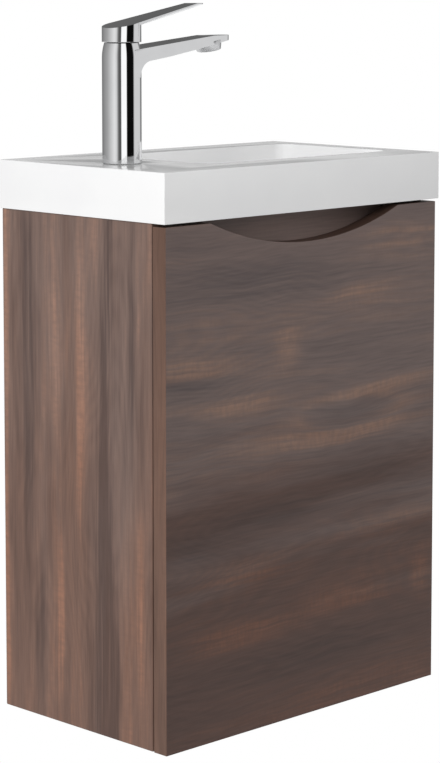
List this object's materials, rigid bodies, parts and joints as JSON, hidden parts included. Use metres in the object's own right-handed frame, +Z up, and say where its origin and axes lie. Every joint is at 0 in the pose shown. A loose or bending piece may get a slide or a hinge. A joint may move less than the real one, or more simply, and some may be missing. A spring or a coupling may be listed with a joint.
{
  "type": "cloakroom vanity unit",
  "caption": "Narrow wall-hung vanity cabinet with a dark wood-grain door, scooped finger pull, white slab basin with a bowl, chrome lever mixer tap, push plug waste and bottle trap.",
  "frame": {"origin": "on the wall plane, midway between the two wall screw holes in the rear hanging rail", "axes": "+X to the right seen from the front, +Y into the wall, +Z up"},
  "size_m": [0.406, 0.247, 0.7352],
  "materials": {
    "side_laminate": "satin wood-grain laminate, grain upright",
    "rail_board": "satin wood-grain laminate",
    "door_laminate": "satin wood-grain laminate, grain across",
    "dowel_wood": "bare beech",
    "hinge_steel": "nickel plated",
    "fixing_steel": "zinc plated",
    "white_cast": "gloss white",
    "tap_chrome": "polished chrome plate on brass",
    "seal_rubber": "matt black",
    "trap_plastic": "white polypropylene",
    "cartridge_plastic": "moulded, matt",
    "cartridge_brass": "machined",
    "bumper_plastic": "soft clear pad"
  },
  "bodies": {
    "cabinet": {"left_side_panel": "side_laminate", "right_side_panel": "side_laminate", "bottom_panel": "side_laminate", "rear_hanging_rail": "rail_board", "lower_rear_rail": "rail_board", "front_top_rail": "side_laminate", "carcass_dowels": "dowel_wood", "hinge_plate_screws": "fixing_steel", "hinge_plates": "hinge_steel", "hinge_arms": "hinge_steel", "hinge_arm_pins": "fixing_steel", "basin": "white_cast", "waste_body": "tap_chrome", "waste_top_seal": "seal_rubber", "waste_lower_washer": "seal_rubber", "waste_backnut": "tap_chrome", "trap_washer": "seal_rubber", "trap_inlet_nut": "trap_plastic", "trap_body": "trap_plastic", "trap_cup_seal": "seal_rubber", "trap_cup": "trap_plastic", "trap_outlet_nut": "trap_plastic", "trap_outlet_pipe": "trap_plastic", "tap_body": "tap_chrome", "tap_base_seal": "seal_rubber", "aerator_housing": "tap_chrome", "aerator_insert": "cartridge_plastic", "tap_stud": "fixing_steel", "tap_rubber_washer": "seal_rubber", "tap_clamp_plate": "fixing_steel", "tap_stud_nut": "fixing_steel", "cartridge_housing": "cartridge_plastic", "cartridge_ring": "cartridge_brass"},
    "hinge_links": {"hinge_links": "hinge_steel"},
    "door": {"door_panel": "door_laminate", "hinge_cups": "hinge_steel", "hinge_cup_pins": "fixing_steel", "hinge_cup_screws": "fixing_steel", "door_bumpers": "bumper_plastic"},
    "lever_carrier": {"cartridge_carrier": "cartridge_plastic", "lever_cross_pin": "fixing_steel"},
    "lever": {"lever_handle": "tap_chrome", "lever_stem": "fixing_steel", "lever_grub_screw": "fixing_steel"},
    "plug": {"waste_plug": "tap_chrome", "plug_seal": "seal_rubber"}
  },
  "joints": [
    {"name": "link_swing", "type": "hinge", "parent": "cabinet", "child": "hinge_links", "pos_m": [0.17, -0.2315, 0], "axis": [0, 0, 1], "range_deg": [-43, 0]},
    {"name": "door_swing", "type": "hinge", "parent": "hinge_links", "child": "door", "pos_m": [0.189, -0.23, 0], "axis": [0, 0, 1], "range_deg": [0, 137.75]},
    {"name": "lever_swivel", "type": "hinge", "parent": "cabinet", "child": "lever_carrier", "pos_m": [-0.145, -0.1235, 0.246], "axis": [0, 0, 1], "range_deg": [-45, 45]},
    {"name": "lever_lift", "type": "hinge", "parent": "lever_carrier", "child": "lever", "pos_m": [-0.145, -0.1235, 0.246], "axis": [0, -1, 0], "range_deg": [0, 20]},
    {"name": "plug_press", "type": "slide", "parent": "cabinet", "child": "plug", "axis": [0, 0, 1], "range_m": [-0.006, 0], "stiffness_N_per_m": 1000, "springref_m": 0.004}
  ],
  "couplings": [
    {"joint": "link_swing", "follows": "door_swing", "ratio": -0.31034}
  ]
}
